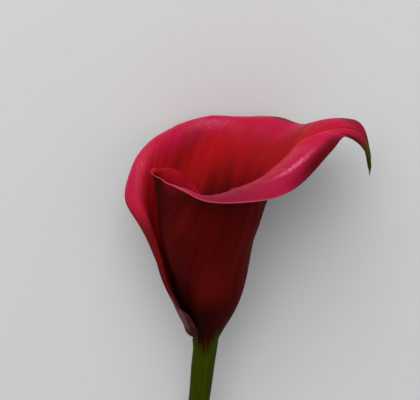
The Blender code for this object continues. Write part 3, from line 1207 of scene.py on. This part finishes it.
def outer_colour(n, fine, broad, blotch):
    """Dark maroon, redder under the lip, with painted shade beside the roll and near black low down,
    a near black painted shadow in the crease beside the lobe and a little painted light in front.
    """
    azimuth = n.fact("azimuth")
    height = n.fact("height")
    level = n.math("ADD", height, n.between(azimuth, -150.0, -115.0, -14.0, 0.0))
    # Painted shade beside the roll and low down, a painted shadow in the crease, and painted light
    # in front.
    shade_beside_roll = n.times(n.band(azimuth, -158.0, 18.0), 0.5)
    lip = n.between(n.fact("edge"), 10.0, 2.0, 0.0, 0.85)
    front = n.times(n.band(azimuth, -82.0, 34.0), n.band(height, 43.0, 15.0), 0.22)
    low = n.times(n.between(level, 34.0, 18.0), n.between(azimuth, -40.0, -115.0, 0.6, 1.0))
    crease = n.times(n.between(azimuth, -98.0, -120.0), n.between(height, 50.0, 26.0, 0.0, 0.8))
    return n.painted(
        outer_maroon(n, azimuth, fine, broad, blotch),
        (shade_beside_roll, MAROON_SHADE),
        (n.times(lip, n.band(azimuth, -125.0, 40.0)), UNDER_LIP_RED),
        (front, FRONT_LIGHT_RED),
        (low, MAROON_SHADE),
        (crease, CREASE_SHADOW_MAROON),
    )


def end_of_roll(n, colour, fine):
    """The last part of the roll: a red-brown edge, and below it a mauve lobe."""
    height = n.fact("height")
    azimuth = n.fact("azimuth")
    last = n.times(n.between(azimuth, 180.0, 198.0), n.between(height, 22.0, 28.0))
    lobe = n.times(n.between(n.fact("lobe"), 0.5, 0.9), n.between(height, 27.0, 22.0))
    pale = n.times(lobe, n.between(azimuth, 238.0, 224.0), n.between(height, 5.0, 12.0))
    pale = n.times(pale, n.between(n.fact("edge"), 0.5, 4.0))
    return n.painted(
        colour,
        (last, ROLL_EDGE_BROWN),
        (lobe, LOBE_BROWN),
        (pale, n.mix(fine, MAUVE_DARK, MAUVE_LIGHT)),
    )


def outer_look():
    """Dark maroon outer face, mauve where the end of the roll turns out."""
    n = Nodes("spathe_outside")
    fine, broad, blotch = petal_patterns(n, 0.0)
    colour = end_of_roll(n, outer_colour(n, fine, broad, blotch), fine)
    cells, normal = petal_relief(n, fine)
    n.set(
        Base_Color=greened(n, colour, broad),
        Roughness=n.math("ADD", 0.42, n.math("MULTIPLY", cells, 0.16)),
        Normal=normal,
        IOR=1.38,
        Specular_IOR_Level=0.01,
        Specular_Tint=PETAL_TINT,
    )
    return n.material


# --- stem, spadix and floor ---------------------------------------------------
def stem_look():
    """Olive green skin with fine lines; maroon runs down from the spathe."""
    n = Nodes("stem_skin")
    around = n.vector(
        n.math("MULTIPLY", n.fact("side_x"), 9.0),
        n.math("MULTIPLY", n.fact("side_y"), 9.0),
        n.math("MULTIPLY", n.fact("height"), 0.05),
    )
    lines = n.noise(around, 1.0, 3.0, 0.6)
    skin = n.mix(maroon_share(n, n.fact("side_x"), lines), olive(n, lines), FOOT_MAROON)
    fibre = n.noise(n.place(), FIBRE_GRAIN, 3.0, 0.6)
    pith = n.mix(fibre, PITH_DARK, PITH_LIGHT)
    height = n.math("ADD", lines, n.math("MULTIPLY", fibre, 0.3))
    n.set(
        Base_Color=n.mix(n.between(n.fact("cut"), 0.3, 0.9), skin, pith),
        Roughness=n.math("ADD", 0.34, n.math("MULTIPLY", lines, 0.2)),
        Normal=n.bump(height, STEM_RELIEF),
        Specular_IOR_Level=0.01,
    )
    return n.material


def spadix_look():
    """Yellow florets with darker gaps, greener at the foot."""
    n = Nodes("spadix_florets")
    tone = n.fact("tone")
    grain = n.noise(n.place(), FLORET_GRAIN, 2.0, 0.6)
    yellow = n.mix(tone, YELLOW_DARK, YELLOW_LIGHT)
    green = n.mix(tone, GREEN_DARK, GREEN_LIGHT)
    ripe = n.between(n.fact("height"), FEMALE_TOP - 3.0, FEMALE_TOP + 2.0)
    n.set(
        Base_Color=n.mix(n.between(grain, 0.3, 0.8, 0.0, 0.25), n.mix(ripe, green, yellow), POLLEN),
        Roughness=0.72,
        Normal=n.bump(grain, FLORET_RELIEF),
    )
    return n.material


def floor_look():
    """Pale matt paper."""
    n = Nodes("floor_paper")
    grain = n.noise(n.place(), PAPER_GRAIN, 2.0, 0.5)
    n.set(Base_Color=n.mix(grain, PAPER_DARK, PAPER_LIGHT), Roughness=0.9)
    return n.material


# --- stage --------------------------------------------------------------------
def add_floor():
    """A wide pale table top."""
    half = FLOOR_HALF
    mesh = bpy.data.meshes.new("floor")
    corners = [(-half, -half, 0.0), (half, -half, 0.0), (half, half, 0.0), (-half, half, 0.0)]
    mesh.from_pydata(corners, [], [(0, 1, 2, 3)])
    mesh.materials.append(floor_look())
    floor = bpy.data.objects.new("floor", mesh)
    bpy.context.scene.collection.objects.link(floor)
    floor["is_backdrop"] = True


def add_key():
    """A square soft light, high beyond the open end of the flower."""
    data = bpy.data.lights.new("key", "AREA")
    data.size = KEY_SIZE
    data.energy = KEY_POWER
    data.color = KEY_COLOUR
    key = bpy.data.objects.new("key", data)
    towards = Vector(KEY_TOWARDS).normalized()
    key.location = towards * KEY_DISTANCE
    key.rotation_euler = towards.to_track_quat("Z", "Y").to_euler()
    bpy.context.scene.collection.objects.link(key)


def add_camera():
    """The view of the standing flower from in front and above, laid down with it."""
    elevation = math.radians(VIEW_ELEVATION)
    forward = np.array([0.0, math.cos(elevation), -math.sin(elevation)])
    right = np.array([1.0, 0.0, 0.0])
    up = np.array([0.0, math.sin(elevation), math.cos(elevation)])
    place = VIEW_DEPTH * (right * VIEW_ASIDE + up * VIEW_ABOVE - forward)
    data = bpy.data.cameras.new("camera")
    data.sensor_width = SENSOR_WIDTH
    data.lens = LENS
    data.clip_start = NEAR_CLIP
    data.clip_end = FAR_CLIP
    camera = bpy.data.objects.new("camera", data)
    axes = np.stack([right, up, -forward], 1)
    turned = Matrix((TURN @ axes).tolist()).to_4x4()
    turned.translation = Vector(laid(place))
    camera.matrix_world = turned
    bpy.context.scene.collection.objects.link(camera)
    bpy.context.scene.camera = camera


def add_world():
    """Even pale surroundings."""
    world = bpy.data.worlds.new("studio")
    world.use_nodes = True
    background = world.node_tree.nodes["Background"]
    background.inputs["Color"].default_value = WORLD_COLOUR
    background.inputs["Strength"].default_value = WORLD_STRENGTH
    bpy.context.scene.world = world


add_piece("spathe_petal", spathe_mesh(), "spathe", inner_look(), outer_look())
add_piece("stem_fine", stem_mesh(), "stem", stem_look())
add_piece("spadix_florets", spadix_mesh(), "spadix", spadix_look())
add_floor()
add_key()
add_world()
add_camera()
bpy.context.scene.view_settings.view_transform = "Standard"

[[list(corner) for corner in box] for box in (CAD_BOX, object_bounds())]
